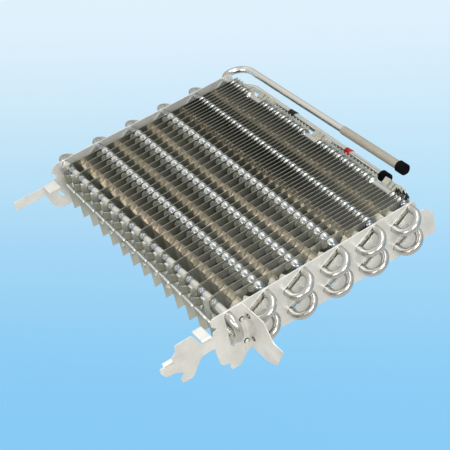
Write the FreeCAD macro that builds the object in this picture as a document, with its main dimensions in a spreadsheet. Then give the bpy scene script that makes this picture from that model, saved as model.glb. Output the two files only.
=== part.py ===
import FreeCAD, Part

import math
import os

import Sketcher

# Finned evaporator coil of a no-frost refrigerator: one serpentine aluminium tube, two end plates with
# hanging arms, and fins at three spacings. X runs along the tubes, Y across the columns, Z up. Lengths are in
# millimetres.

DIMENSIONS = [
    ("tube_diameter", 8.0, "outside diameter of the tube"),
    ("tube_wall", 1.0, "wall of the tube, seen at its two open ends"),
    ("tube_pitch", 25.0, "centre distance of neighbouring legs, a triangular pattern"),
    ("column_count", 6, "columns of legs in the top row"),
    ("core_length", 330.0, "clear distance between the end plates"),
    ("near_stand", 6.5, "straight tube between the near plate and its slanting bends"),
    ("first_stand", 2.5, "straight tube between the near plate and the upright bend"),
    ("far_stand", 5.0, "straight tube between the far plate and its bends"),
    ("tight_bend", 10.0, "radius at which both pipes leave the last column"),
    ("suction_bend", 20.0, "radius at which the suction pipe turns back"),
    ("suction_spread", 1.0, "degrees by which the suction pipe runs away from the coil"),
    ("inlet_bend", 21.5, "radius at which the inlet pipe turns back"),
    ("suction_rise", 0.8, "suction pipe above the axis of the top legs"),
    ("suction_length", 280.5, "open end of the suction pipe from the far plate"),
    ("inlet_length", 252.5, "open end of the inlet pipe from the far plate"),
    ("slot_clearance", 0.2, "gap all round the tube in fins and plates"),
    ("fin_thickness", 0.3, "fin stock"),
    ("fin_rise", 6.5, "fin above the axis of the top legs"),
    ("fin_drop", 50.5, "fin below the axis of the top legs"),
    ("fin_front", 10.0, "long fin in front of the first column"),
    ("fin_back", 7.5, "fins behind the last column"),
    ("fin_margin", 7.5, "shorter fins in front of their first leg"),
    ("long_count", 14, "fins that span every column"),
    ("long_first", 13.5, "first long fin from the far plate"),
    ("fin_end", 8.5, "last fin from the near plate"),
    ("long_pitch", "=(core_length - long_first - fin_end) / (long_count - 0.25)", "spacing of the long fins"),
    ("medium_column", 2, "first column of the fins midway between the long ones"),
    ("short_column", 5, "first column of the fins a quarter of the pitch from their neighbours"),
    ("window_length", 27.0, "length of each window at the last column"),
    ("window_drop", 8.5, "depth of the window below the top axis"),
    ("window_side", 6.5, "window in front of the last top leg"),
    ("window_first", 2.125, "middle of the first window, in bays from the first long fin"),
    ("window_second", 6.875, "middle of the second window, in bays"),
    ("window_third", 12.25, "middle of the third window, in bays"),
    ("plate_thickness", 1.2, "end plate sheet"),
    ("plate_rise", 5.5, "end plate above the axis of the top legs"),
    ("plate_drop", 51.5, "end plate below the axis of the top legs"),
    ("plate_front", 19.0, "end plate in front of the first column"),
    ("plate_back", 8.0, "end plate behind the last column"),
    ("corner_radius", 6.0, "rounded top corner at the back"),
    ("front_radius", 13.0, "rounded top corner of the far plate"),
    ("relief_depth", 5.7, "relief notch in the front edge"),
    ("relief_level", 8.8, "relief notch below the top axis"),
    ("relief_radius", 3.2, "round relief notch of the far plate"),
    ("tab_reach", 20.0, "back tab behind the plate's back edge"),
    ("tab_top", 12.0, "back tab's upper edge below the top axis"),
    ("tab_bottom", 47.5, "back tab's lower edge below the top axis"),
    ("tab_chamfer", 10.0, "slope of the back tab's upper corner"),
    ("ledge_level", 15.0, "ledge of the arms below the top axis"),
    ("ledge_width", 14.0, "ledge along the arm"),
    ("ledge_length", 18.5, "ledge into the coil"),
    ("ledge_bend", 1.0, "inner radius of the folded ledges"),
    ("arm_width", 14.0, "arm below its ledge, near plate"),
    ("arm_reach", 60.0, "arm in front of the plate, near plate"),
    ("shoulder_top", 0.5, "shoulder of the arm above the top axis"),
    ("shoulder_width", 19.0, "shoulder along the arm"),
    ("neck_drop", 11.3, "neck behind the nose of the arm, below the top axis"),
    ("nose_drop", 16.5, "nose of the arm below the top axis"),
    ("nose_height", 12.3, "nose of the arm, up to down"),
    ("thumb_drop", 47.0, "lowest point of the thumb below the top axis"),
    ("thumb_width", 12.0, "thumb under the arm"),
    ("thumb_gap", 5.5, "step between the nose and the thumb"),
    ("hook_reach", 11.5, "small ledge along the nose of the arm"),
    ("hook_length", 4.0, "small ledge into the coil"),
    ("slit_height", 0.9, "slit lanced along the fold of each ledge of the near arm"),
    ("slit_margin", 1.2, "sheet left beside each slit"),
    ("foot_front", 19.0, "double foot in front of the first column"),
    ("foot_step", 9.5, "front lobe of the double foot, along the plate"),
    ("foot_back", 16.0, "double foot behind the first column"),
    ("front_lobe_drop", 56.0, "front lobe below the top axis"),
    ("back_lobe_drop", 66.0, "back lobe below the top axis"),
    ("strip_front", 9.3, "clinched strip of the wing bracket from the first column"),
    ("wing_offset", 16.0, "face of the wing from the first column"),
    ("first_slot_extra", 9.5, "near plate's first slot below the lower leg"),
    ("button_radius", 1.9, "clinch buttons on the strip"),
    ("button_upper", 13.6, "upper clinch button below the top axis"),
    ("button_lower", 42.4, "lower clinch button below the top axis"),
    ("wing_hole_radius", 1.6, "holes of the wing, near its fold"),
    ("wing_hole_upper", 5.9, "upper hole of the wing below the top axis"),
    ("wing_hole_lower", 36.6, "lower hole of the wing below the top axis"),
    ("wing_hole_place", 7.5, "holes of the wing from the plate"),
    ("wing_thickness", 1.0, "wing bracket sheet"),
    ("wing_top", 35.0, "upper edge of the wing, away from the plate"),
    ("wing_reach", 62.0, "tip of the wing, away from the plate"),
    ("wing_shoulder", 14.0, "shoulder of the wing below the top axis"),
    ("wing_toe", 44.0, "lower end of the wing's tip, away from the plate"),
    ("wing_toe_drop", 45.5, "lower end of the wing's tip below the top axis"),
    ("wing_drop", 51.5, "wing below the top axis"),
    ("far_arm_reach", 51.0, "arm in front of the far plate"),
    ("far_arm_width", 11.0, "arm of the far plate"),
    ("keyhole_radius", 2.2, "round end of the keyhole"),
    ("keyhole_slot", 1.2, "half width of the keyhole's slot"),
    ("keyhole_length", 8.0, "keyhole's slot from the middle of its round end"),
    ("keyhole_inset", 5.0, "keyhole behind the front edge"),
    ("keyhole_level", 36.0, "keyhole below the top axis"),
    ("sleeve_diameter", 9.6, "sleeve on the suction pipe"),
    ("sleeve_length", 92.0, "sleeve on the suction pipe"),
    ("sleeve_clearance", 0.1, "gap between pipe and sleeve or cap"),
    ("cap_diameter", 12.5, "rubber cap on a pipe's end"),
    ("cap_length", 11.0, "rubber cap, end to end"),
    ("cap_wall", 3.0, "closed end of the rubber cap"),
    ("cap_bevel", 1.5, "bevelled edge of the rubber cap"),
]

doc = FreeCAD.newDocument("evaporator_coil")
sheet = doc.addObject("Spreadsheet::Sheet", "Sizes")
for row, (alias, value, note) in enumerate(DIMENSIONS, start=1):
    sheet.set(f"A{row}", note)
    sheet.set(f"B{row}", str(value))
    sheet.setAlias(f"B{row}", alias)
doc.recompute()


def size(alias):
    """A driving dimension, read back from the sheet."""
    return float(sheet.get(alias))


# Tube pattern: top legs stand one pitch above the lower ones, and the legs between lie half a pitch lower.
PITCH = size("tube_pitch")
HALF_COLUMN = PITCH * math.cos(math.radians(30))
COLUMN = 2 * HALF_COLUMN
COLUMNS = int(size("column_count"))
LAST = COLUMN * (COLUMNS - 1)
TUBE_RADIUS = size("tube_diameter") / 2
SLOT_RADIUS = TUBE_RADIUS + size("slot_clearance")
CORE = size("core_length")
PLATE = size("plate_thickness")
TIGHT = size("tight_bend")
SUCTION_Z = size("suction_rise")
SUCTION_Y = LAST + math.sqrt((TIGHT + size("suction_bend")) ** 2 - SUCTION_Z ** 2)
INLET_Y = LAST + TIGHT + size("inlet_bend")
FRONT = -size("plate_front")
BACK = LAST + size("plate_back")

# The suction pipe runs a little away from the coil, so its turn stops short of a half circle.
SPREAD = math.radians(size("suction_spread"))
SUCTION_BEND = size("suction_bend")
OUTWARDS = FreeCAD.Vector(0, SUCTION_Y - LAST, SUCTION_Z).normalize()
HEADING = FreeCAD.Vector(math.cos(SPREAD), 0, 0) + OUTWARDS * math.sin(SPREAD)
PIPE_START = FreeCAD.Vector(SUCTION_BEND * (1 - math.sin(SPREAD)) - TIGHT, LAST, 0)
PIPE_START += OUTWARDS * (TIGHT + SUCTION_BEND * math.cos(SPREAD))
PIPE_END = PIPE_START + HEADING * ((size("suction_length") - PIPE_START.x) / HEADING.x)

# The origin is the middle of the coil's box, on the level of its lowest point.
LOWEST = -max(size("back_lobe_drop"), size("wing_drop"), size("plate_drop"), size("fin_drop"))
NEAR_END = CORE + PLATE + size("wing_reach")
FAR_END = -size("far_stand") - PITCH / 2 - TUBE_RADIUS
ARM_END = FRONT - size("arm_reach")
CAP_SIDE = size("cap_diameter") / 2 * math.sqrt(1 - HEADING.y ** 2)
SIDE_END = PIPE_END.y + HEADING.y * (size("cap_wall") - size("cap_bevel")) + CAP_SIDE
ORIGIN = FreeCAD.Vector((NEAR_END + FAR_END) / 2, (SIDE_END + ARM_END) / 2, LOWEST)


def place(thing, x=0.0, y=0.0, z=0.0, turn=FreeCAD.Rotation()):
    """Moves an object from the tube pattern's own corner to the coil's origin."""
    thing.Placement = FreeCAD.Placement(FreeCAD.Vector(x, y, z) - ORIGIN, turn)
    return thing


# Sketching helpers, on a body's own planes: YZ for sheets, XY and XZ for folds, XZ for turned pieces.
def new_body(label):
    body = doc.addObject("PartDesign::Body", label)
    body.Label = label
    return body


def new_sketch(body, plane, name, offset=0.0):
    sketch = body.newObject("Sketcher::SketchObject", name)
    support = [feature for feature in body.Origin.OriginFeatures if feature.Role == plane][0]
    sketch.AttachmentSupport = [(support, "")]
    sketch.MapMode = "FlatFace"
    sketch.AttachmentOffset = FreeCAD.Placement(FreeCAD.Vector(0, 0, offset), FreeCAD.Rotation())
    return sketch


def draw_loop(sketch, points):
    """A closed outline of straight edges. A point with a third number is rounded to that radius."""
    corners = [FreeCAD.Vector(point[0], point[1], 0) for point in points]
    radii = [point[2] if len(point) > 2 else 0 for point in points]
    starts, ends, arcs = [], [], []
    for index, corner in enumerate(corners):
        before = (corners[index - 1] - corner).normalize()
        after = (corners[(index + 1) % len(corners)] - corner).normalize()
        half = before.getAngle(after) / 2
        back = radii[index] / math.tan(half) if radii[index] else 0
        ends.append(corner + before * back)
        starts.append(corner + after * back)
        if radii[index]:
            middle = corner + (before + after).normalize() * (radii[index] / math.sin(half) - radii[index])
            arcs.append(Part.Arc(ends[-1], middle, starts[-1]))
        else:
            arcs.append(None)
    for index in range(len(corners)):
        if arcs[index]:
            sketch.addGeometry(arcs[index], False)
        start, end = starts[index], ends[(index + 1) % len(corners)]
        if (end - start).Length > 1e-4:
            sketch.addGeometry(Part.LineSegment(start, end), False)


def draw_rectangle(sketch, left, low, right, high):
    """A rectangle held by four measures from the sketch's origin, each an expression of the sheet's cells."""
    corners = [FreeCAD.Vector(x, y, 0) for x, y in ((-1, -1), (1, -1), (1, 1), (-1, 1))]
    for index in range(4):
        sketch.addGeometry(Part.LineSegment(corners[index], corners[(index + 1) % 4]), False)
    for index in range(4):
        sketch.addConstraint(Sketcher.Constraint("Coincident", index, 2, (index + 1) % 4, 1))
    for index, direction in enumerate(("Horizontal", "Vertical", "Horizontal", "Vertical")):
        sketch.addConstraint(Sketcher.Constraint(direction, index))
    measures = (
        ("DistanceX", 0, 1, left),
        ("DistanceY", 0, 1, low),
        ("DistanceX", 1, 2, right),
        ("DistanceY", 2, 1, high),
    )
    for kind, line, end, expression in measures:
        number = sketch.addConstraint(Sketcher.Constraint(kind, -1, 1, line, end, 1.0))
        sketch.setExpression(f"Constraints[{number}]", expression)


def pad(body, sketch, name, length, reverse=False):
    feature = body.newObject("PartDesign::Pad", name)
    feature.Profile = sketch
    feature.setExpression("Length", length)
    feature.Reversed = reverse
    body.Tip = feature
    return feature


def pocket(body, sketch, name):
    """Cuts a profile right through, both ways, and makes sure that it took something away."""
    doc.recompute()
    volume = body.Shape.Volume
    feature = body.newObject("PartDesign::Pocket", name)
    feature.Profile = sketch
    feature.Type = "ThroughAll"
    feature.SideType = "Symmetric"
    body.Tip = feature
    doc.recompute()
    if body.Shape.Volume >= volume:
        raise RuntimeError(f"{name} cut nothing from {body.Label}")
    return feature


# Slots: each pair of legs that a near bend joins has one long slot, so that the sheet slides over the bend.
def draw_slot(sketch, low, high, rounded):
    """A slot round two legs, from the lower one to the upper one, with round or square ends."""
    direction = (high - low).normalize()
    side = FreeCAD.Vector(-direction.y, direction.x, 0) * SLOT_RADIUS
    reach = direction * SLOT_RADIUS
    if rounded:
        sketch.addGeometry(Part.Arc(low + side, low - reach, low - side), False)
        sketch.addGeometry(Part.LineSegment(low - side, high - side), False)
        sketch.addGeometry(Part.Arc(high - side, high + reach, high + side), False)
        sketch.addGeometry(Part.LineSegment(high + side, low + side), False)
    else:
        corners = (low - reach + side, low - reach - side, high + reach - side, high + reach + side)
        draw_loop(sketch, [(corner.x, corner.y) for corner in corners])


def cut_slots(body, first_column, rounded):
    """The slots of a sheet from first_column on: an upper and a lower one a column, in a row of copies."""
    offset = FreeCAD.Vector(-HALF_COLUMN, -PITCH / 2, 0)
    sketch = new_sketch(body, "YZ_Plane", "leg_slots")
    start = COLUMN * (first_column - 1)
    for level in (0.0, -PITCH):
        high = FreeCAD.Vector(start, level, 0)
        draw_slot(sketch, high + offset, high, rounded)
    slots = pocket(body, sketch, "slot_pair")
    copies = COLUMNS - first_column + 1
    if copies > 1:
        volume = body.Shape.Volume
        row = body.newObject("PartDesign::LinearPattern", "slot_row")
        row.Originals = [slots]
        row.Direction = (sketch, ["H_Axis"])
        row.Mode = "Extent"
        row.Length = COLUMN * (copies - 1)
        row.Occurrences = copies
        body.Tip = row
        doc.recompute()
        if body.Shape.Volume >= volume:
            raise RuntimeError(f"the slots of {body.Label} were not repeated")


def cut_first_slot(body, rounded, extra=0.0):
    """The upright slot of the first column, longer at its lower end by extra."""
    sketch = new_sketch(body, "YZ_Plane", "first_slot")
    draw_slot(sketch, FreeCAD.Vector(0, -PITCH - extra, 0), FreeCAD.Vector(0, 0, 0), rounded)
    pocket(body, sketch, "first_slot_cut")


# Coil tube: one bent length from the suction pipe through every leg to the inlet pipe.
def leg_route():
    """The legs as (y, z), in the order in which the tube runs through them."""
    upper = []
    for column in range(COLUMNS - 1, 0, -1):
        upper.append((COLUMN * column, 0.0))
        upper.append((COLUMN * column - HALF_COLUMN, -PITCH / 2))
    lower = []
    for column in range(1, COLUMNS):
        lower.append((COLUMN * column - HALF_COLUMN, -1.5 * PITCH))
        lower.append((COLUMN * column, -PITCH))
    return upper + [(0.0, 0.0), (0.0, -PITCH)] + lower


def half_turn(start, end, outwards):
    """A half circle from one leg to the next, bulging outwards along X."""
    radius = (end - start).Length / 2
    crown = (start + end) * 0.5 + FreeCAD.Vector(outwards * radius, 0, 0)
    return Part.Arc(start, crown, end).toShape()


def pipe_turn(leg, pipe, wide, spread=0.0):
    """From the last column's leg to its pipe: a tight quarter circle, then a wide one, less the spread."""
    across = (pipe - leg).normalize()
    back = FreeCAD.Vector(-1, 0, 0)
    crown = leg + (back + across) * TIGHT
    slant = math.sqrt(0.5)
    first = Part.Arc(leg, leg + back * TIGHT * slant + across * TIGHT * (1 - slant), crown)
    centre = crown - back * wide
    sweep = math.pi / 2 - spread
    halfway = centre + (back * math.cos(sweep / 2) + across * math.sin(sweep / 2)) * wide
    last = centre + (back * math.cos(sweep) + across * math.sin(sweep)) * wide
    second = Part.Arc(crown, halfway, last)
    return first.toShape(), second.toShape(), last


def tube_path():
    """Straight legs joined by half circles, with the two pipes' wider turns at the ends, as one wire."""
    legs = leg_route()
    near = CORE + PLATE + size("near_stand")
    near_first = CORE + PLATE + size("first_stand")
    far = -size("far_stand")
    first_leg = FreeCAD.Vector(0, *legs[0])
    last_leg = FreeCAD.Vector(0, *legs[-1])
    suction_pipe = FreeCAD.Vector(0, SUCTION_Y, SUCTION_Z)
    inlet_pipe = FreeCAD.Vector(0, INLET_Y, -PITCH)
    tight, wide, pipe_start = pipe_turn(first_leg, suction_pipe, SUCTION_BEND, SPREAD)
    edges = [Part.LineSegment(PIPE_END, pipe_start).toShape(), wide, tight]
    here = first_leg
    for index, leg in enumerate(legs):
        towards_near = index % 2 == 0
        last = index == len(legs) - 1
        end = far
        if towards_near:
            end = near_first if leg == (0.0, 0.0) else near
        stop = last_leg if last else FreeCAD.Vector(end, *leg)
        edges.append(Part.LineSegment(here, stop).toShape())
        if not last:
            here = FreeCAD.Vector(stop.x, *legs[index + 1])
            edges.append(half_turn(stop, here, 1 if towards_near else -1))
    tight, wide, pipe_start = pipe_turn(last_leg, inlet_pipe, size("inlet_bend"))
    pipe_end = FreeCAD.Vector(size("inlet_length"), pipe_start.y, pipe_start.z)
    return Part.Wire(edges + [tight, wide, Part.LineSegment(pipe_start, pipe_end).toShape()])


spine = doc.addObject("Part::Feature", "tube_spine")
spine.Shape = tube_path()
section = doc.addObject("Part::Circle", "tube_section")
section.setExpression("Radius", "Sizes.tube_diameter / 2")
section.Placement = FreeCAD.Placement(PIPE_END, FreeCAD.Rotation(FreeCAD.Vector(0, 0, -1), HEADING))
bent_tube = doc.addObject("Part::Sweep", "bent_tube")
bent_tube.Sections = [section]
bent_tube.Spine = (spine, [f"Edge{number + 1}" for number in range(len(spine.Shape.Edges))])
bent_tube.Solid = True
bent_tube.Frenet = False
bores = []
straight = "Sizes.{0}_length + Sizes.tight_bend - Sizes.{0}_bend"
spread = "Sizes.suction_spread * 1deg"
for name, start, heading, length in (
    ("suction", PIPE_START, HEADING, f"({straight} * (1 - sin({spread}))) / cos({spread})"),
    ("inlet", FreeCAD.Vector(size("inlet_bend") - TIGHT, INLET_Y, -PITCH), FreeCAD.Vector(1, 0, 0), straight),
):
    bore = doc.addObject("Part::Cylinder", f"{name}_bore")
    bore.setExpression("Radius", "Sizes.tube_diameter / 2 - Sizes.tube_wall")
    bore.setExpression("Height", length.format(name))
    bore.Placement = FreeCAD.Placement(start, FreeCAD.Rotation(FreeCAD.Vector(0, 0, 1), heading))
    bores.append(bore)
both_bores = doc.addObject("Part::MultiFuse", "bores")
both_bores.Shapes = bores
coil_tube = doc.addObject("Part::Cut", "coil_tube")
coil_tube.Base = bent_tube
coil_tube.Tool = both_bores
coil_tube.Label = "coil_tube"
place(coil_tube)


# Fins: flat sheets with slots. A window leaves the last top leg bare, where a clip or heater tie goes
# round it.
def make_fin(label, first_column, windowed):
    body = new_body(label)
    sketch = new_sketch(body, "YZ_Plane", "fin_outline")
    column = "Sizes.tube_pitch * cos(30deg) * 2"
    if first_column == 1:
        left = "-Sizes.fin_front"
    else:
        left = f"{column} * ({first_column} - 1.5) - Sizes.fin_margin"
    right = f"{column} * (Sizes.column_count - 1) + Sizes.fin_back"
    draw_rectangle(sketch, left, "-Sizes.fin_drop", right, "Sizes.fin_rise")
    pad(body, sketch, "fin_sheet", "Sizes.fin_thickness")
    cut_slots(body, max(first_column, 2), False)
    if first_column == 1:
        cut_first_slot(body, False)
    if windowed:
        notch = new_sketch(body, "YZ_Plane", "window_outline")
        low = "-Sizes.window_drop"
        side = f"{column} * (Sizes.column_count - 1) - Sizes.window_side"
        draw_rectangle(notch, side, low, f"{right} + 1", "Sizes.fin_rise + 1")
        pocket(body, notch, "window_cut")
    return body


MEDIUM_FIRST = int(size("medium_column"))
SHORT_FIRST = int(size("short_column"))
patterns = {}
for kind, column in (("long", 1), ("medium", MEDIUM_FIRST), ("short", SHORT_FIRST)):
    for windowed in (False, True):
        form = "notched" if windowed else "whole"
        patterns[kind, windowed] = make_fin(f"{kind}_{form}_pattern", column, windowed)
doc.recompute()

FIRST = size("long_first")
STEP = size("long_pitch")
WINDOWS = [FIRST + STEP * size(name) for name in ("window_first", "window_second", "window_third")]


def in_window(x):
    return any(abs(x - middle) < size("window_length") / 2 for middle in WINDOWS)


def add_fin(kind, name, x):
    """A fin of one kind, standing at x, as a link to its pattern."""
    fin = doc.addObject("App::Link", name)
    fin.LinkedObject = patterns[kind, in_window(x)]
    fin.Label = name
    return place(fin, x=x - size("fin_thickness") / 2)


fins = []
for bay in range(int(size("long_count"))):
    number = f"{bay + 1:02d}"
    fins.append(add_fin("long", f"long_fin_{number}", FIRST + STEP * bay))
    fins.append(add_fin("medium", f"medium_fin_{number}", FIRST + STEP * (bay + 0.5)))
    before = add_fin("short", f"short_fin_{number}_before", FIRST + STEP * (bay + 0.25))
    behind = add_fin("short", f"short_fin_{number}_behind", FIRST + STEP * (bay + 0.75))
    pair = doc.addObject("Part::Compound", f"short_fins_{number}")
    pair.Links = [before, behind]
    pair.Label = f"short_fins_{number}"
    fins.append(pair)


# End plates: slotted sheets with an arm in front. The near one is seen from outside, the far one from inside.
RISE = size("plate_rise")
DROP = -size("plate_drop")
LEDGE = -size("ledge_level")
LEDGE_FRONT = FRONT - size("ledge_width")
FOLD = size("ledge_bend") + PLATE


def ledge_fold(body, name, front, back, level, length, inwards):
    """A ledge folded out of a plate at its bend line, with the radius of the fold. inwards is 1 or -1
    along X."""
    inner = size("ledge_bend")
    outer = FOLD
    sketch = new_sketch(body, "XZ_Plane", f"{name}_profile", offset=-back)
    face = PLATE if inwards < 0 else 0.0
    sheet_back = face + inwards * PLATE
    root = level - 2 * outer
    fold = [
        (face, root),
        (face, level, outer),
        (face + inwards * length, level),
        (face + inwards * length, level - PLATE),
        (sheet_back, level - PLATE, inner),
        (sheet_back, root),
    ]
    draw_loop(sketch, fold)
    feature = pad(body, sketch, name, str(back - front))
    return feature


def near_plate():
    """Main plate, arm with two ledges, thumb, double foot and back tab, in one sheet."""
    body = new_body("near_end_plate")
    shoulder = size("shoulder_top")
    arm_low = LEDGE - size("arm_width")
    nose = ARM_END
    neck = -size("neck_drop")
    nose_top = -size("nose_drop")
    nose_low = nose_top - size("nose_height")
    shoulder_back = LEDGE_FRONT - size("ledge_width") / 2
    shoulder_front = shoulder_back - size("shoulder_width")
    thumb = -size("thumb_drop")
    gap = size("thumb_gap")
    thumb_front = shoulder_front - 2
    thumb_back = thumb_front + size("thumb_width")
    foot = -size("foot_front")
    step = foot + size("foot_step")
    foot_back = size("foot_back")
    lobe = -size("front_lobe_drop")
    deep = -size("back_lobe_drop")
    tab = BACK + size("tab_reach")
    relief = -size("relief_level")
    depth = size("relief_depth")
    tab_top = -size("tab_top")
    tab_low = -size("tab_bottom")
    slope = size("tab_chamfer")
    outline = [
        (FRONT, RISE, 4),
        (FRONT, relief + depth),
        (FRONT + depth, relief, 1),
        (FRONT, relief - 2, 1),
        (FRONT - 1, LEDGE),
        (LEDGE_FRONT, LEDGE),
        (shoulder_back, shoulder, 3),
        (shoulder_front, shoulder, 2),
        (shoulder_front - 1, neck + 4, 3),
        (shoulder_front - gap, neck, 2),
        (shoulder_front - gap - 1, nose_top, 2),
        (nose, nose_top, 1),
        (nose, nose_top - gap, 2),
        (nose + 4, nose_low, 3),
        (shoulder_front - gap, nose_low - 2, 4),
        (shoulder_front + 3, nose_low - gap - 1, 2),
        (thumb_front, thumb + gap, 3),
        (thumb_front, thumb, 2),
        (thumb_back, thumb, 3),
        (LEDGE_FRONT - 3, arm_low, 8),
        (foot - 2, arm_low, 2),
        (foot, lobe, 7),
        (step, lobe, 1),
        (step, deep, 2),
        (step + 2 * gap, deep, 3),
        (foot_back / 2, lobe - 2, 4),
        (foot_back, DROP, 4),
        (BACK, DROP, 2),
        (BACK, tab_low),
        (tab, tab_low, 2),
        (tab, tab_top - slope, 3),
        (tab - slope, tab_top, 3),
        (BACK, tab_top, 2),
        (BACK, RISE, size("corner_radius")),
    ]
    sketch = new_sketch(body, "YZ_Plane", "plate_outline")
    draw_loop(sketch, outline)
    pad(body, sketch, "plate_sheet", "Sizes.plate_thickness")
    cut_slots(body, 2, True)
    cut_first_slot(body, True, size("first_slot_extra"))
    ledge_fold(body, "arm_ledge", LEDGE_FRONT + 1, FRONT - 2.5, LEDGE + FOLD, size("ledge_length"), -1)
    hook_front = nose + 4.5
    hook_back = hook_front + size("hook_reach")
    ledge_fold(body, "nose_ledge", hook_front, hook_back, nose_top + FOLD, size("hook_length"), -1)
    slits = new_sketch(body, "YZ_Plane", "slits_under_ledges")
    for front, back, root in ((LEDGE_FRONT + 1, FRONT - 2.5, LEDGE), (hook_front, hook_back, nose_top)):
        low = root - size("slit_height")
        left = front + size("slit_margin")
        right = back - size("slit_margin")
        draw_loop(slits, [(left, low), (right, low), (right, root), (left, root)])
    pocket(body, slits, "slits_cut")
    return place(body, x=CORE)


def far_plate():
    """Plate with a rounded front corner, a round relief, a straight arm with its ledge, and a keyhole."""
    body = new_body("far_end_plate")
    arm_low = LEDGE - size("far_arm_width")
    tip = FRONT - size("far_arm_reach")
    relief = -size("relief_level")
    radius = size("relief_radius")
    outline = [
        (FRONT, RISE, size("front_radius")),
        (FRONT, LEDGE),
        (tip, LEDGE, 2),
        (tip, arm_low, 2),
        (LEDGE_FRONT, arm_low, 2),
        (LEDGE_FRONT + 6, DROP + 6, 3),
        (FRONT + 2, DROP, 2),
        (BACK, DROP, 2),
        (BACK, RISE, size("corner_radius")),
    ]
    sketch = new_sketch(body, "YZ_Plane", "plate_outline")
    draw_loop(sketch, outline)
    pad(body, sketch, "plate_sheet", "Sizes.plate_thickness")
    cut_slots(body, 2, True)
    cut_first_slot(body, True)
    notch = new_sketch(body, "YZ_Plane", "relief_outline")
    centre = FreeCAD.Vector(FRONT + radius / 2, relief, 0)
    notch.addGeometry(Part.Circle(centre, FreeCAD.Vector(0, 0, 1), radius), False)
    pocket(body, notch, "relief_cut")
    middle = FreeCAD.Vector(FRONT + size("keyhole_inset"), -size("keyhole_level"), 0)
    hole = new_sketch(body, "YZ_Plane", "keyhole_round")
    hole.addGeometry(Part.Circle(middle, FreeCAD.Vector(0, 0, 1), size("keyhole_radius")), False)
    pocket(body, hole, "keyhole_round_cut")
    slit = new_sketch(body, "YZ_Plane", "keyhole_slit")
    along = FreeCAD.Vector(-0.5, 0.866, 0)
    side = FreeCAD.Vector(along.y, -along.x, 0) * size("keyhole_slot")
    end = middle + along * size("keyhole_length")
    draw_loop(slit, [(point.x, point.y) for point in (middle + side, end + side, end - side, middle - side)])
    pocket(body, slit, "keyhole_slit_cut")
    ledge_fold(body, "arm_ledge", LEDGE_FRONT, FRONT, LEDGE + FOLD, size("ledge_length"), 1)
    return place(body, x=-PLATE)


# Wing bracket: a strip clinched to the near plate, folded outwards into a wing beside the first bends.
def wing_bracket():
    body = new_body("wing_bracket")
    sheet_metal = size("wing_thickness")
    face = size("wing_offset") + sheet_metal
    reach = size("wing_reach")
    sketch = new_sketch(body, "XY_Plane", "fold_plan", offset=-size("wing_drop"))
    plan = [
        (0, size("strip_front")),
        (sheet_metal, size("strip_front")),
        (sheet_metal, face - sheet_metal, sheet_metal),
        (reach, face - sheet_metal),
        (reach, face),
        (0, face, 2 * sheet_metal),
    ]
    draw_loop(sketch, plan)
    pad(body, sketch, "folded_strip", "Sizes.wing_drop + Sizes.plate_rise")
    top = RISE + 1
    trim = new_sketch(body, "XZ_Plane", "wing_trim")
    shoulder = -size("wing_shoulder")
    upper = size("wing_top")
    upper_corner = [(upper, top), (upper + 12, shoulder, 6), (reach + 1, shoulder), (reach + 1, top)]
    toe = size("wing_toe")
    toe_drop = -size("wing_toe_drop")
    low = -size("wing_drop") - 1
    lower_corner = [
        (reach, shoulder - 2),
        (toe, toe_drop),
        (toe - 20, low),
        (reach + 1, low),
        (reach + 1, shoulder - 2),
    ]
    draw_loop(trim, upper_corner)
    draw_loop(trim, lower_corner)
    pocket(body, trim, "wing_trim_cut")
    holes = new_sketch(body, "XZ_Plane", "wing_holes")
    for level in ("wing_hole_upper", "wing_hole_lower"):
        middle = FreeCAD.Vector(size("wing_hole_place"), -size(level), 0)
        holes.addGeometry(Part.Circle(middle, FreeCAD.Vector(0, 0, 1), size("wing_hole_radius")), False)
    pocket(body, holes, "wing_hole_cut")
    buttons = new_sketch(body, "YZ_Plane", "clinch_buttons", offset=sheet_metal)
    for level in ("button_upper", "button_lower"):
        middle = FreeCAD.Vector((size("strip_front") + face) / 2 - sheet_metal, -size(level), 0)
        buttons.addGeometry(Part.Circle(middle, FreeCAD.Vector(0, 0, 1), size("button_radius")), False)
    raised = pad(body, buttons, "raised_buttons", "Sizes.wing_thickness / 2")
    raised.TaperAngle = -20
    return place(body, x=CORE + PLATE)


# Turned pieces on the two pipes, each a profile revolved about the pipe's axis.
def revolve(label, profile):
    body = new_body(label)
    sketch = new_sketch(body, "XZ_Plane", "half_section")
    draw_loop(sketch, profile)
    turn = body.newObject("PartDesign::Revolution", "turned")
    turn.Profile = sketch
    turn.ReferenceAxis = (sketch, ["H_Axis"])
    turn.Angle = 360
    body.Tip = turn
    return body


PIPE_SURFACE = TUBE_RADIUS + size("sleeve_clearance")


def ring(label, outside, length):
    """A sleeve round a pipe, from x = 0."""
    radius = size(outside) / 2
    return revolve(label, [(0, PIPE_SURFACE), (0, radius), (length, radius), (length, PIPE_SURFACE)])


def end_cap(label):
    """A rubber cup over the open end of a pipe, with its closed end towards +X and bevelled."""
    radius = size("cap_diameter") / 2
    length = size("cap_length")
    bottom = length - size("cap_wall")
    soft = size("cap_bevel")
    half_section = [
        (0, PIPE_SURFACE),
        (0, radius),
        (length - soft, radius),
        (length, radius - soft),
        (length, 0),
        (bottom, 0),
        (bottom, PIPE_SURFACE),
    ]
    return revolve(label, half_section)


CAP_START = size("cap_length") - size("cap_wall")
pipe_turned = FreeCAD.Rotation(FreeCAD.Vector(1, 0, 0), HEADING)
cap_seat = PIPE_END - HEADING * CAP_START
sleeve_seat = cap_seat - HEADING * size("sleeve_length")
turned = [
    place(end_cap("suction_cap"), *cap_seat, pipe_turned),
    place(end_cap("inlet_cap"), size("inlet_length") - CAP_START, INLET_Y, -PITCH),
    place(ring("suction_sleeve", "sleeve_diameter", size("sleeve_length")), *sleeve_seat, pipe_turned),
]
plates = [near_plate(), far_plate(), wing_bracket()]
doc.recompute()

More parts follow.
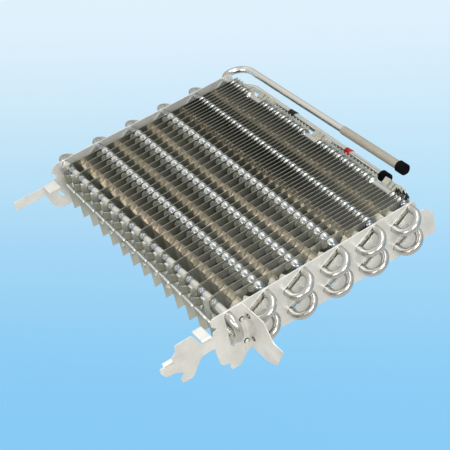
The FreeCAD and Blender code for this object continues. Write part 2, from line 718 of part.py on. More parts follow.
# Checks, then one file for each piece.
for thing in doc.Objects:
    if "Invalid" in thing.State or "Error" in thing.State:
        raise RuntimeError(f"{thing.Name} failed: {thing.State}")
pieces = {piece.Label: Part.getShape(piece) for piece in [coil_tube, *fins, *plates, *turned]}
os.makedirs("parts", exist_ok=True)
for label, shape in pieces.items():
    if shape.isNull() or not shape.isValid() or not shape.Solids:
        raise RuntimeError(f"{label} has no valid solid")
for label, shape in pieces.items():
    shape.exportStep(f"parts/{label}.step")
print(len(pieces), "pieces")
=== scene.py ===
import math

import bmesh
import bpy
from mathutils import Matrix, Vector


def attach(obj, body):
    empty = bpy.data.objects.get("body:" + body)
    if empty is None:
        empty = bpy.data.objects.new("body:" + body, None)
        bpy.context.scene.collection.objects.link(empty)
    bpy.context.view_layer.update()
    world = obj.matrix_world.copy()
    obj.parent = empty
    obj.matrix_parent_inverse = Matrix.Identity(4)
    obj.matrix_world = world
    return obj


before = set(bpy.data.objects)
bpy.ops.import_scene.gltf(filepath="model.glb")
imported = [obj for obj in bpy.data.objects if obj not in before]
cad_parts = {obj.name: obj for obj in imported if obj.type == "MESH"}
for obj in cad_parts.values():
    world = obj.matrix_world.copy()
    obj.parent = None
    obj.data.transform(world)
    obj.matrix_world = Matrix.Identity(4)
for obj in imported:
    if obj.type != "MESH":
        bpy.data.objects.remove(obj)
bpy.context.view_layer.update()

# Camera, lamps, floor and surroundings.
# The coil is seen from above its near, front corner, through a long lens held a little askew.
# It hangs over a blue backdrop that pales with distance, under three soft lamps, the strongest behind the camera.
# CORNER is where the first tube's axis meets the far plate; the scene's origin is below the middle of the coil.
CORNER = Vector((-0.18585, -0.0892469, 0.066))
CAMERA_PLACE = CORNER + Vector((1.141, -0.360, 0.816))

bpy.context.scene.view_settings.view_transform = "Standard"
forward = Vector((-0.707, 0.329, -0.626)).normalized()
sideways = Vector((0.540, 0.823, -0.177))
sideways = (sideways - forward * sideways.dot(forward)).normalized()
upward = sideways.cross(forward)
camera_data = bpy.data.cameras.new("camera")
camera_data.lens = 104.0
camera_data.sensor_width = 36.0
camera_data.shift_x = 0.002
camera_data.shift_y = 0.0013
camera_data.clip_start = 0.05
camera = bpy.data.objects.new("camera", camera_data)
turn = Matrix((sideways, upward, -forward)).transposed().to_4x4()
camera.matrix_world = Matrix.Translation(CAMERA_PLACE) @ turn
bpy.context.collection.objects.link(camera)
bpy.context.scene.camera = camera


def linear(code):
    """An sRGB hex colour as linear RGBA."""
    values = [int(code[place:place + 2], 16) / 255 for place in (1, 3, 5)]
    return tuple(v / 12.92 if v <= 0.04045 else ((v + 0.055) / 1.055) ** 2.4 for v in values) + (1.0,)


def node(owner, kind, settings=None, **links):
    """Adds a shader node with its settings and input values, or links from other nodes' sockets."""
    made = owner.node_tree.nodes.new(kind)
    for name, value in (settings or {}).items():
        setattr(made, name, value)
    for name, value in links.items():
        socket = made.inputs[int(name[1:])] if name[0] == "_" else made.inputs[name.replace("_", " ")]
        if isinstance(value, bpy.types.NodeSocket):
            owner.node_tree.links.new(value, socket)
        else:
            socket.default_value = value
    return made


def set_stops(ramp, stops):
    """Gives a colour ramp its places and sRGB colours."""
    elements = ramp.color_ramp.elements
    elements[0].position, elements[0].color = stops[0][0], linear(stops[0][1])
    elements[1].position, elements[1].color = stops[-1][0], linear(stops[-1][1])
    for place, code in stops[1:-1]:
        elements.new(place).color = linear(code)


def new_material(name):
    """An empty node material."""
    material = bpy.data.materials.new(name)
    material.use_nodes = True
    material.node_tree.nodes.clear()
    return material


def add_area(name, place, aim, width, height, power):
    """A soft box of width by height metres that faces the point aim."""
    data = bpy.data.lights.new(name, "AREA")
    data.shape = "RECTANGLE"
    data.size = width
    data.size_y = height
    data.energy = power
    lamp = bpy.data.objects.new(name, data)
    lamp.location = place
    lamp.rotation_euler = (Vector(aim) - Vector(place)).to_track_quat("-Z", "Y").to_euler()
    bpy.context.collection.objects.link(lamp)


COIL_MIDDLE = (0, 0, 0.03)
add_area("overhead", (0.1, 0.3, 1.3), COIL_MIDDLE, 1.0, 0.5, 5.0)
add_area("front_left", (0.3, -1.4, 0.7), COIL_MIDDLE, 0.9, 0.5, 6.0)
add_area("near_right", (1.55, -0.4, 1.2), COIL_MIDDLE, 0.9, 0.5, 17.0)

world = bpy.data.worlds.new("studio")
world.use_nodes = True
world.node_tree.nodes.clear()
sky_place = node(world, "ShaderNodeTexCoord")
sky_axes = node(world, "ShaderNodeSeparateXYZ", Vector=sky_place.outputs["Generated"])
sky_shade = node(world, "ShaderNodeValToRGB", Fac=sky_axes.outputs["Z"])
set_stops(sky_shade, ((0.0, "#A4A4A0"), (0.12, "#BCBCB8"), (0.5, "#D4D4D0"), (1.0, "#F2F2F0")))
sky = node(world, "ShaderNodeBackground", Color=sky_shade.outputs["Color"], Strength=1.0)
node(world, "ShaderNodeOutputWorld", Surface=sky.outputs[0])
bpy.context.scene.world = world

# The floor lies FLOOR_DEPTH below the coil's lowest point, and its colour changes over FLOOR_SPAN, both in metres.
# SEEN_SHARE is the part of its look that glows; the rest is painted, and keeps the object's shadow.
FLOOR_DEPTH = 0.6
FLOOR_SPAN = 1.6
SEEN_SHARE = 0.8
floor_mesh = bpy.data.meshes.new("floor")
grower = bmesh.new()
bmesh.ops.create_grid(grower, x_segments=1, y_segments=1, size=4.0)
grower.to_mesh(floor_mesh)
grower.free()
floor = bpy.data.objects.new("floor", floor_mesh)
floor.location.z = -FLOOR_DEPTH
bpy.context.collection.objects.link(floor)
backdrop = new_material("painted studio backdrop")
floor_place = node(backdrop, "ShaderNodeTexCoord")
depth = node(
    backdrop, "ShaderNodeVectorMath", {"operation": "DOT_PRODUCT"}, _0=floor_place.outputs["Object"],
    _1=(-0.702 / FLOOR_SPAN, 0.712 / FLOOR_SPAN, 0.0),
)
floor_shade = node(backdrop, "ShaderNodeValToRGB", Fac=depth.outputs["Value"])
set_stops(floor_shade, (
    (0.0, "#D6D4CE"), (0.06, "#D6D4CE"), (0.12, "#87CAF4"), (0.20, "#8ACBF5"), (0.27, "#90CEF5"),
    (0.34, "#9BD3F6"), (0.42, "#A7D8F8"), (0.507, "#B6E0F9"), (0.60, "#C3E6FA"), (0.71, "#D1ECFD"),
    (0.83, "#DDF1FF"), (0.97, "#E4F5FF"),
))
rays = node(backdrop, "ShaderNodeLightPath")
seen = node(backdrop, "ShaderNodeMath", _0=rays.outputs["Is Camera Ray"], _1=rays.outputs["Is Glossy Ray"])
seen_too = node(backdrop, "ShaderNodeMath", _0=seen.outputs[0], _1=rays.outputs["Is Transmission Ray"])
share = node(
    backdrop, "ShaderNodeMath", {"operation": "MULTIPLY", "use_clamp": True}, _0=seen_too.outputs[0], _1=SEEN_SHARE
)
painted = node(backdrop, "ShaderNodeBsdfDiffuse", Color=floor_shade.outputs["Color"])
glowing = node(backdrop, "ShaderNodeEmission", Color=floor_shade.outputs["Color"], Strength=1.0)
floor_look = node(
    backdrop, "ShaderNodeMixShader", _0=share.outputs[0], _1=painted.outputs[0], _2=glowing.outputs[0]
)
node(backdrop, "ShaderNodeOutputMaterial", Surface=floor_look.outputs[0])
floor_mesh.materials.append(backdrop)


# Coil tube.
# Drawn aluminium tube, 8 mm, bent cold: bright and smooth outside. Among the fins its grey is painted reflection of
# the dark fins round it.
# The lines of the draw are 0.4 mm apart on the real tube and are drawn 1 mm apart here, so that they show.
def finish_metal(metal, tone, grain, rough_low, rough_high, stretch, metallic, unevenness=0.14):
    """Ends a metal: its colour is mottled, and a fine grain, of a size in mm, roughens it."""
    place = node(metal, "ShaderNodeTexCoord")
    stretched = node(metal, "ShaderNodeMapping", Vector=place.outputs["Object"], Scale=stretch)
    cloud = node(
        metal, "ShaderNodeTexNoise", Vector=stretched.outputs[0], Scale=1000 / (grain * 10), Detail=3.0,
        Roughness=0.6,
    )
    fine = node(metal, "ShaderNodeTexNoise", Vector=stretched.outputs[0], Scale=1000 / grain, Detail=2.0)
    level = node(
        metal, "ShaderNodeMapRange", Value=cloud.outputs[0], From_Min=0.3, From_Max=0.7, To_Min=1 - unevenness,
        To_Max=1 + unevenness / 2,
    )
    mottled = node(metal, "ShaderNodeVectorMath", {"operation": "SCALE"}, _0=tone, Scale=level.outputs[0])
    rough = node(
        metal, "ShaderNodeMapRange", Value=fine.outputs[0], From_Min=0.3, From_Max=0.7, To_Min=rough_low,
        To_Max=rough_high,
    )
    bump = node(metal, "ShaderNodeBump", Strength=unevenness, Distance=0.0001, Height=fine.outputs[0])
    shader = node(
        metal, "ShaderNodeBsdfPrincipled", Base_Color=mottled.outputs[0], Metallic=metallic,
        Roughness=rough.outputs[0], Normal=bump.outputs[0],
    )
    node(metal, "ShaderNodeOutputMaterial", Surface=shader.outputs[0])


def dress(name, material):
    """Gives a CAD node its material."""
    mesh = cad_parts[name].data
    mesh.materials.clear()
    mesh.materials.append(material)


# The coil's own sizes, in millimetres: neighbouring legs, columns of legs, the last column's axis, the clear distance
# between the end plates, the first long fin from the far plate, and the bay between two long fins. BAYS counts them.
PITCH = 25.0
HALF_COLUMN = PITCH * math.cos(math.radians(30))
COLUMN = 2 * HALF_COLUMN
LAST = 5 * COLUMN
CORE = 330.0
FIRST = 13.5
STEP = 22.4
BAYS = 14

tube_metal = new_material("drawn aluminium tube")
tube_place = node(tube_metal, "ShaderNodeTexCoord")
tube_axes = node(tube_metal, "ShaderNodeSeparateXYZ", Vector=tube_place.outputs["Object"])
# From the front to the back: the first row is painted bright where light falls on it, the rows between the fins
# painted grey as reflection of the dark fins, and the two pipes a pale beige.
tube_across = node(
    tube_metal, "ShaderNodeMapRange", Value=tube_axes.outputs["Y"],
    From_Min=CORNER.y - 0.01, From_Max=CORNER.y + (LAST + 40) / 1000,
)
tube_painted_row_shade = node(tube_metal, "ShaderNodeValToRGB", Fac=tube_across.outputs[0])
set_stops(tube_painted_row_shade, (
    (0.0, "#F6F6F2"), (0.07, "#F6F6F2"), (0.10, "#9EA6AA"), (0.80, "#9EA6AA"), (0.86, "#E4E3DE"), (0.90, "#ECEAE4"),
    (1.0, "#F0EEE9"),
))
# The first row gets a painted grey-blue reflection a third of the way along each bay, where it mirrors the panels'
# folds.
bay_place = node(
    tube_metal, "ShaderNodeMath", {"operation": "MULTIPLY_ADD"}, _0=tube_axes.outputs["X"], _1=1000 / STEP,
    _2=-(CORNER.x * 1000 + FIRST) / STEP,
)
bay_part = node(tube_metal, "ShaderNodeMath", {"operation": "FRACT"}, _0=bay_place.outputs[0])
painted_fold_reflection = node(tube_metal, "ShaderNodeValToRGB", Fac=bay_part.outputs[0])
set_stops(painted_fold_reflection, (
    (0.0, "#FFFFFF"), (0.22, "#F0F1F2"), (0.30, "#B4BABE"), (0.42, "#BCC1C5"), (0.5, "#FAFAF8"), (1.0, "#FFFFFF"),
))
first_row = node(
    tube_metal, "ShaderNodeMapRange", Value=tube_axes.outputs["Y"], From_Min=CORNER.y + 0.014,
    From_Max=CORNER.y + 0.012,
)
# The painted row shade together with the painted fold reflection of the first row.
tube_painted_shading = node(
    tube_metal, "ShaderNodeMix", {"data_type": "RGBA", "blend_type": "MULTIPLY"}, _0=first_row.outputs[0],
    _6=tube_painted_row_shade.outputs["Color"], _7=painted_fold_reflection.outputs["Color"],
)
# Outside the two end plates, at its bends, the whole tube has one pale tone.
tube_offset = node(
    tube_metal, "ShaderNodeMath", {"operation": "ADD"}, _0=tube_axes.outputs["X"], _1=-CORNER.x - CORE / 2000
)
tube_distance = node(tube_metal, "ShaderNodeMath", {"operation": "ABSOLUTE"}, _0=tube_offset.outputs[0])
tube_outside = node(
    tube_metal, "ShaderNodeMapRange", Value=tube_distance.outputs[0], From_Min=CORE / 2000,
    From_Max=CORE / 2000 + 0.003,
)
tube_tone = node(
    tube_metal, "ShaderNodeMix", {"data_type": "RGBA"}, _0=tube_outside.outputs[0], _6=tube_painted_shading.outputs[2],
    _7=linear("#CDCCC8"),
)
finish_metal(tube_metal, tube_tone.outputs[2], 1.0, 0.2, 0.27, (0.15, 1.0, 1.0), 0.97, 0.03)
dress("coil_tube", tube_metal)

# Fins.
# Aluminium foil 0.3 mm thick, punched and slid over the hairpins: mill finish, with a warm cast. Between the rows
# of tubes it carries painted shade and painted reflection, darkest close before each row, and its sheared upper edges
# carry a painted highlight. The rolling grain is about 0.3 mm on the real foil and is drawn 1.5 mm here, so that it
# shows.
foil = new_material("mill finish aluminium foil")
foil_place = node(foil, "ShaderNodeTexCoord")
foil_axes = node(foil, "ShaderNodeSeparateXYZ", Vector=foil_place.outputs["Object"])
from_first = node(
    foil, "ShaderNodeMath", {"operation": "MULTIPLY_ADD"}, _0=foil_axes.outputs["Y"], _1=1000 / COLUMN,
    _2=-CORNER.y * 1000 / COLUMN,
)
within = node(foil, "ShaderNodeMath", {"operation": "FRACT"}, _0=from_first.outputs[0])
foil_painted_row_shade = node(foil, "ShaderNodeValToRGB", Fac=within.outputs[0])
set_stops(foil_painted_row_shade, (
    (0.0, "#7E8177"), (0.08, "#787B70"), (0.28, "#787B70"), (0.33, "#CCC4B2"), (0.40, "#C4BCAA"), (0.50, "#A8A494"),
    (0.62, "#8A897B"), (0.78, "#64665B"), (0.95, "#585A51"), (1.0, "#7E8177"),
))
# Painted shade: the close fins are darkest between the fourth and the fifth row.
of_last = node(foil, "ShaderNodeMath", {"operation": "MULTIPLY"}, _0=from_first.outputs[0], _1=0.2)
dense_painted_shade = node(foil, "ShaderNodeValToRGB", Fac=of_last.outputs[0])
set_stops(dense_painted_shade, (
    (0.0, "#FFFFFF"), (0.62, "#FFFFFF"), (0.68, "#A4A6A2"), (0.79, "#A2A4A0"), (0.83, "#D6D8D2"), (1.0, "#FFFFFF"),
))
foil_painted_shade = node(
    foil, "ShaderNodeMix", {"data_type": "RGBA", "blend_type": "MULTIPLY"}, _0=1.0, _6=foil_painted_row_shade.outputs["Color"],
    _7=dense_painted_shade.outputs["Color"],
)
# In front of and behind the rows, low down and beside the near plate the painted shade gives way to the foil's own
# light tone, and on the sheared upper edges that light tone is a painted highlight.
front_unshaded = node(
    foil, "ShaderNodeMapRange", Value=from_first.outputs[0], From_Min=0.02, From_Max=-0.06, To_Min=0.0, To_Max=1.0
)
back_unshaded = node(
    foil, "ShaderNodeMapRange", Value=from_first.outputs[0], From_Min=5.02, From_Max=5.08, To_Min=0.0, To_Max=0.9
)
low_unshaded = node(
    foil, "ShaderNodeMapRange", Value=foil_axes.outputs["Z"], From_Min=CORNER.z - 0.008, From_Max=CORNER.z - 0.024,
    To_Min=0.0, To_Max=0.7,
)
painted_edge_highlight = node(
    foil, "ShaderNodeMapRange", Value=foil_axes.outputs["Z"], From_Min=CORNER.z + 0.0056, From_Max=CORNER.z + 0.0062
)
near_unshaded = node(
    foil, "ShaderNodeMapRange", Value=foil_axes.outputs["X"], From_Min=CORNER.x + 0.190, From_Max=CORNER.x + 0.320,
    To_Min=0.0, To_Max=0.65,
)
unshaded = front_unshaded
for part in (back_unshaded, low_unshaded, painted_edge_highlight, near_unshaded):
    unshaded = node(foil, "ShaderNodeMath", {"operation": "MAXIMUM"}, _0=unshaded.outputs[0], _1=part.outputs[0])
foil_tone = node(
    foil, "ShaderNodeMix", {"data_type": "RGBA"}, _0=unshaded.outputs[0], _6=foil_painted_shade.outputs[2],
    _7=linear("#CDCDC2"),
)
finish_metal(foil, foil_tone.outputs[2], 1.5, 0.3, 0.5, (1.0, 1.0, 0.4), 0.75)
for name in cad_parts:
    if "_fin" in name:
        dress(name, foil)


# Collars of the fins.
# Each fin is punched and drawn out round the tube into a short collar that grips it, like a bead: its white band is a
# painted highlight and its blue-grey band a painted reflection of the dark fins. The windows of the last row have
# none.
def spot(x, y, z):
    """A place in millimetres from the first tube's axis at the far plate, as a point of the scene."""
    return CORNER + Vector((x, y, z)) / 1000


def copy_to(shaper, pattern, x, y, z, spin=0.0, lean=0.0):
    """Copies the faces of a pattern, turns them about Z and X, and sets them at a place in millimetres."""
    copied = bmesh.ops.duplicate(shaper, geom=pattern)["geom"]
    corners = [part for part in copied if isinstance(part, bmesh.types.BMVert)]
    turned = Matrix.Rotation(spin, 4, "Z") @ Matrix.Rotation(lean, 4, "X")
    bmesh.ops.transform(shaper, matrix=Matrix.Translation(spot(x, y, z)) @ turned, verts=corners)


def all_of(corners):
    """The corners of a pattern with their edges and faces."""
    edges = {edge for corner in corners for edge in corner.link_edges}
    faces = {face for corner in corners for face in corner.link_faces}
    return list(corners) + list(edges) + list(faces)


def spin_ring(shaper, profile, axis, steps):
    """Spins a closed outline of (along, out) places in millimetres about an axis, X or Y, into a ring."""
    before = set(shaper.verts)
    if axis == "X":
        corners = [shaper.verts.new((along / 1000, 0, out / 1000)) for along, out in profile]
    else:
        corners = [shaper.verts.new((0, along / 1000, out / 1000)) for along, out in profile]
    edges = [shaper.edges.new(pair) for pair in zip(corners, corners[1:] + corners[:1])]
    bmesh.ops.spin(
        shaper, geom=corners + edges, axis=(axis == "X", axis == "Y", 0), cent=(0, 0, 0), steps=steps,
        angle=math.radians(360), use_merge=True,
    )
    ring = [corner for corner in shaper.verts if corner not in before]
    bmesh.ops.remove_doubles(shaper, verts=ring, dist=0.00001)
    ring = [corner for corner in shaper.verts if corner not in before]
    bmesh.ops.recalc_face_normals(shaper, faces=list(shaper.faces))
    return ring


def make_piece(name, shaper, material, smooth=False):
    """Turns a finished bmesh into a piece that rides on the coil and has one material."""
    mesh = bpy.data.meshes.new(name)
    for face in shaper.faces:
        face.smooth = smooth
    shaper.to_mesh(mesh)
    shaper.free()
    piece = bpy.data.objects.new(name, mesh)
    mesh.materials.append(material)
    bpy.context.collection.objects.link(piece)
    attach(piece, "root")
    return piece


# The bare lengths of the last row, from the far plate, and the collars' outlines as (along, out), in millimetres: one
# for the first row, one for the rows with wide bays and one for the close fins.
COLLAR_SIDES = 10
WINDOWS = ((47.6, 74.6), (154.0, 181.0), (274.4, 301.4))
FRONT_COLLAR = ((0.3, 4.5), (5.5, 4.7), (7.0, 4.3), (7.0, 4.08), (0.3, 4.08))
LONG_COLLAR = ((0.3, 5.9), (1.6, 6.15), (4.2, 5.4), (9.8, 4.5), (9.8, 4.08), (0.3, 4.08))
SHORT_COLLAR = ((0.3, 5.7), (1.8, 5.9), (5.2, 4.3), (5.2, 4.08), (0.3, 4.08))
# Each leg is (column, across, level), and each fin is (place, first column that it spans).
legs = [(1, 0.0, 0.0), (1, 0.0, -PITCH)]
for column in range(2, 7):
    across = COLUMN * (column - 1)
    legs += [(column, across, 0.0), (column, across - HALF_COLUMN, -PITCH / 2)]
    legs += [(column, across, -PITCH), (column, across - HALF_COLUMN, -1.5 * PITCH)]
fins = []
for bay in range(BAYS):
    fins.append((FIRST + STEP * bay, 1))
    fins.append((FIRST + STEP * (bay + 0.5), 2))
    fins.append((FIRST + STEP * (bay + 0.25), 5))
    fins.append((FIRST + STEP * (bay + 0.75), 5))

# The painted highlight and reflection repeat at every collar of the wide bays, twice between two long fins.
collar_metal = new_material("drawn aluminium collars")
collar_place = node(collar_metal, "ShaderNodeTexCoord")
collar_axes = node(collar_metal, "ShaderNodeSeparateXYZ", Vector=collar_place.outputs["Object"])
collar_along = node(
    collar_metal, "ShaderNodeMath", {"operation": "MULTIPLY_ADD"}, _0=collar_axes.outputs["X"], _1=2000 / STEP,
    _2=-(CORNER.x * 1000 + FIRST) * 2 / STEP,
)
collar_part = node(collar_metal, "ShaderNodeMath", {"operation": "FRACT"}, _0=collar_along.outputs[0])
collar_painted_highlight = node(collar_metal, "ShaderNodeValToRGB", Fac=collar_part.outputs[0])
set_stops(collar_painted_highlight, (
    (0.0, "#B4B7B8"), (0.12, "#E4E3DE"), (0.36, "#DCDBD7"), (0.52, "#979FA5"), (0.8, "#80898F"), (1.0, "#8C9499"),
))
finish_metal(collar_metal, collar_painted_highlight.outputs["Color"], 1.0, 0.2, 0.3, (1.0, 1.0, 1.0), 0.97, 0.06)
shaper = bmesh.new()
first_corners = []
collars = []
for profile in (FRONT_COLLAR, LONG_COLLAR, SHORT_COLLAR):
    ring = spin_ring(shaper, profile, "X", COLLAR_SIDES)
    first_corners += ring
    collars.append(all_of(ring))
for place, first_column in fins:
    bare = any(low < place < high for low, high in WINDOWS)
    for column, across, level in legs:
        if column >= first_column and not (bare and column == 6 and level == 0.0):
            copy_to(shaper, collars[(column > 1) + (column > 4)], place, across, level)
bmesh.ops.delete(shaper, geom=first_corners, context="VERTS")
make_piece("fin_collars", shaper, collar_metal, True)

# Spacer flaps of the fins.
# The metal of the fins' slots is folded into curved flaps, 0.3 mm thick, which hold the next fin off. They lie in a
# row behind every row of tubes and lean back. Rounded ones stand close in front of the tubes. Their colour, beige on
# the flaps and paler on the rounded ones, is painted light.
# FLAP_HEIGHT and LAST_FLAP, beyond which no flap stands, are in millimetres, FOIL_THICKNESS in metres.
FLAP_HEIGHT = 8.0
LAST_FLAP = 318.0
FOIL_THICKNESS = 0.0003
flap_foil = new_material("folded aluminium foil")
flap_place = node(flap_foil, "ShaderNodeTexCoord")
flap_axes = node(flap_foil, "ShaderNodeSeparateXYZ", Vector=flap_place.outputs["Object"])
flap_column = node(
    flap_foil, "ShaderNodeMath", {"operation": "MULTIPLY_ADD"}, _0=flap_axes.outputs["Y"], _1=1000 / COLUMN,
    _2=-CORNER.y * 1000 / COLUMN,
)
flap_within = node(flap_foil, "ShaderNodeMath", {"operation": "FRACT"}, _0=flap_column.outputs[0])
flap_painted_light = node(flap_foil, "ShaderNodeValToRGB", Fac=flap_within.outputs[0])
set_stops(flap_painted_light, ((0.0, "#D2C6B3"), (0.38, "#D2C6B3"), (0.5, "#A19D8E"), (0.75, "#C2C2B5"), (1.0, "#C2C2B5")))
finish_metal(flap_foil, flap_painted_light.outputs["Color"], 1.5, 0.3, 0.5, (1.0, 1.0, 0.4), 0.7)


def bend_sheet(shaper, width, height, columns, rows, shape):
    """An upright sheet in the X-Z plane, in millimetres, pushed out along Y by shape(along, up), both 0 to 1."""
    sheet = bmesh.ops.create_grid(
        shaper, x_segments=columns, y_segments=rows, size=0.5,
        matrix=Matrix.Diagonal((width / 1000, 1, height / 1000, 1)) @ Matrix.Rotation(math.radians(90), 4, "X"),
    )["verts"]
    for corner in sheet:
        along, up = corner.co.x * 1000 / width + 0.5, corner.co.z * 1000 / height + 0.5
        corner.co.y = shape(along, up) / 1000
    return sheet


def thicken(shaper, patterns):
    """Deletes the patterns, which have been copied, and makes sheets of foil of the copies."""
    bmesh.ops.delete(shaper, geom=patterns, context="VERTS")
    bmesh.ops.solidify(shaper, geom=list(shaper.faces), thickness=FOIL_THICKNESS)


shaper = bmesh.new()
wide_flap = bend_sheet(
    shaper, 9.8, FLAP_HEIGHT, 2, 3, lambda along, up: 1.2 * math.sin(math.pi * up) + 0.2 * (2 * along - 1)
)
narrow_flap = bend_sheet(
    shaper, 5.2, FLAP_HEIGHT, 2, 3, lambda along, up: 0.9 * math.sin(math.pi * up) + 0.6 * (2 * along - 1)
)
half_moon = bend_sheet(shaper, 6.6, 8.4, 5, 3, lambda along, up: 0.9 * math.cos(math.pi * (along - 0.5)))
# Its height falls off to both sides, which rounds its corners.
for corner in half_moon:
    corner.co.z *= math.cos(corner.co.x * 330)
wide_pattern, narrow_pattern, moon_pattern = all_of(wide_flap), all_of(narrow_flap), all_of(half_moon)
# Two waves vary the place, turn and lean of each flap, because the real ones are folded roughly.
for place, first_column in sorted(fins):
    if place > LAST_FLAP:
        continue
    for row in range(5):
        if first_column > 2 and row < 3:
            continue
        wave = math.sin(place * 1.7 + row * 2.3)
        other = math.sin(place * 3.1 + row * 1.1)
        copy_to(
            shaper, narrow_pattern if row == 4 else wide_pattern, place + (3.0 if row == 4 else 5.75),
            COLUMN * row + 16.6 + 1.6 * wave, 0.9 + 1.0 * other, spin=0.1 * wave, lean=-0.8 + 0.25 * other,
        )
        if 0 < row < 4:
            copy_to(
                shaper, moon_pattern, place + 2.4, COLUMN * row - 7.6, 0.8 + 0.5 * other, spin=1.4 + 0.15 * wave
            )
thicken(shaper, wide_flap + narrow_flap + half_moon)
make_piece("spacer_flaps", shaper, flap_foil)

# Front panels of the long fins.
# Each long fin's front edge is folded towards the next one: a light pillar, 0.3 mm thick, that sinks back into a
# panel. The sheet's darker colour is painted shade. The panels hide the lower leg of the first hairpin.
def eased(value):
    """Runs smoothly from 0 to 1 as value does."""
    value = min(max(value, 0.0), 1.0)
    return value * value * (3 - 2 * value)


def plain_metal(name, code, *finish):
    """A metal of one colour, given as sRGB hex."""
    metal = new_material(name)
    tone = node(metal, "ShaderNodeRGB")
    tone.outputs[0].default_value = linear(code)
    finish_metal(metal, tone.outputs[0], *finish)
    return metal


# The panels' darker foil is painted shade.
panel_painted_shade_foil = plain_metal("aluminium foil with painted shade", "#8B8B7D", 1.5, 0.35, 0.5, (1.0, 1.0, 0.4), 0.7)
clean_foil = plain_metal("clean aluminium foil", "#D0CFC4", 1.5, 0.3, 0.45, (1.0, 1.0, 0.4), 0.75)
shaper = bmesh.new()
panel = bend_sheet(
    shaper, 22.2, 11.5, 14, 4,
    lambda along, up: 5.4 * eased((along - 0.16) / 0.14) * (1 - 0.3 * up) - 3.4 * eased((along - 0.86) / 0.14),
)
pattern = all_of(panel)
for bay in range(BAYS - 1):
    copy_to(shaper, pattern, FIRST + STEP * bay + 11.3, -10.0, -7.2)
thicken(shaper, panel)
make_piece("front_panels", shaper, panel_painted_shade_foil, True)

# Front rail and lips.
# Rolled edges of the same foil, painted bright as a highlight: a rail under the panels that steps at every long
# fin, and a lip that hugs the first tube from below.
shaper = bmesh.new()
rail = bend_sheet(shaper, 22.6, 2.0, 6, 4, lambda along, up: 1.2 * up * up - 0.9 * along)
lip = bend_sheet(shaper, 13.5, 3.0, 6, 3, lambda along, up: 1.6 * up * up + 0.8 * along)
rail_pattern, lip_pattern = all_of(rail), all_of(lip)
for bay in range(BAYS):
    place = FIRST + STEP * bay
    copy_to(shaper, rail_pattern, place + (11.3 if bay < BAYS - 1 else -3.0), -11.4, -14.2, lean=-0.35)
    if bay < BAYS - 1:
        copy_to(shaper, lip_pattern, place + 14.8, -5.2, -0.6, lean=-0.6)
thicken(shaper, rail + lip)
painted_highlight_foil = plain_metal("rolled foil with painted highlight", "#F2F1EC", 1.0, 0.22, 0.34, (1.0, 1.0, 1.0), 0.7)
make_piece("front_rail", shaper, painted_highlight_foil, True)

# Curled tabs of the front edge.
# Below the rail a few fins keep a tongue, 7 mm wide, which curls over: light above and dark beneath. Each is listed
# by its distance from the far plate and its level, in millimetres.
TABS = ((91, -23), (110, -25), (135.5, -26.5), (156, -24.4), (180.7, -24.8), (204, -22.8), (228, -23.8))
shaper = bmesh.new()
tab = bend_sheet(shaper, 7.0, 6.0, 3, 5, lambda along, up: -3.2 * math.sin(math.pi * up) + 1.5 * up)
pattern = all_of(tab)
for place, level in TABS:
    copy_to(shaper, pattern, place + 2.5, -10.0, level, spin=0.25 * math.sin(place), lean=-0.4)
thicken(shaper, tab)
make_piece("curled_tabs", shaper, clean_foil, True)

# Leaves beside the end plates and in the windows.
# Offcuts of the fins' foil, folded over, clean and pale: they close the slots of both plates, fill the space between
# the last fin and the near plate, and lie behind the bare lengths of the last row.
BESIDE_PLATE = 325.6
shaper = bmesh.new()
cover = bend_sheet(shaper, 27.0, 10.0, 4, 3, lambda along, up: 1.0 * up * up)
filler = bend_sheet(shaper, 8.5, 9.0, 3, 3, lambda along, up: 2.0 * up * up - 1.0 * along)
low_leaf = bend_sheet(shaper, 8.5, 18.0, 3, 4, lambda along, up: 1.5 * up * up - 1.0 * along)
shelf = bend_sheet(shaper, 7.6, 30.0, 2, 6, lambda along, up: 2.0 * math.sin(7 * up))
bmesh.ops.transform(shaper, matrix=Matrix.Rotation(math.radians(90), 4, "Z"), verts=cover)
cover_pattern, filler_pattern = all_of(cover), all_of(filler)
low_pattern, shelf_pattern = all_of(low_leaf), all_of(shelf)
# The angle of the slanting slots from upright.
slant = math.atan2(HALF_COLUMN, PITCH / 2)
for row in range(1, 6):
    for level in (0.0, -PITCH):
        for place in (2.4, CORE - 1.8):
            copy_to(
                shaper, cover_pattern, place, COLUMN * row - HALF_COLUMN / 2, level - PITCH / 4,
                lean=math.radians(90) - slant,
            )
copy_to(shaper, filler_pattern, CORE - 1.0, 0.0, -33.5, spin=math.radians(90))
for row in range(6):
    wave = math.sin(row * 2.1)
    if row < 5:
        copy_to(
            shaper, filler_pattern, BESIDE_PLATE, COLUMN * row + 9.5 + wave, 0.4 + wave, spin=0.15 * wave, lean=-0.7
        )
        copy_to(shaper, filler_pattern, BESIDE_PLATE, COLUMN * row + 24.0 - wave, -1.0, spin=0.5, lean=-0.9)
        copy_to(shaper, shelf_pattern, BESIDE_PLATE + 0.3, COLUMN * row + 22.0, -7.0 + wave, lean=-1.5)
for low, high in WINDOWS:
    for step in range(7):
        wave = math.sin(low + step * 1.9)
        beyond = step < 2
        copy_to(
            shaper, low_pattern, low - 9.0 + step * 5.6, LAST + (15.8 if beyond else 9.8),
            (-16.5 if beyond else -8.0) + 0.4 * wave, spin=0.1 * wave, lean=-1.0 + 0.1 * wave,
        )
thicken(shaper, cover + filler + low_leaf + shelf)
make_piece("folded_leaves", shaper, clean_foil)

# Crumpled corners of the fins beside the near plate.
# The upper back corners of the last fins are torn and bent into points, painted almost black as shade.
POINT_HEIGHT = 7.5
shaper = bmesh.new()
point = bend_sheet(shaper, 5.5, POINT_HEIGHT, 2, 4, lambda along, up: 1.5 * up * up)
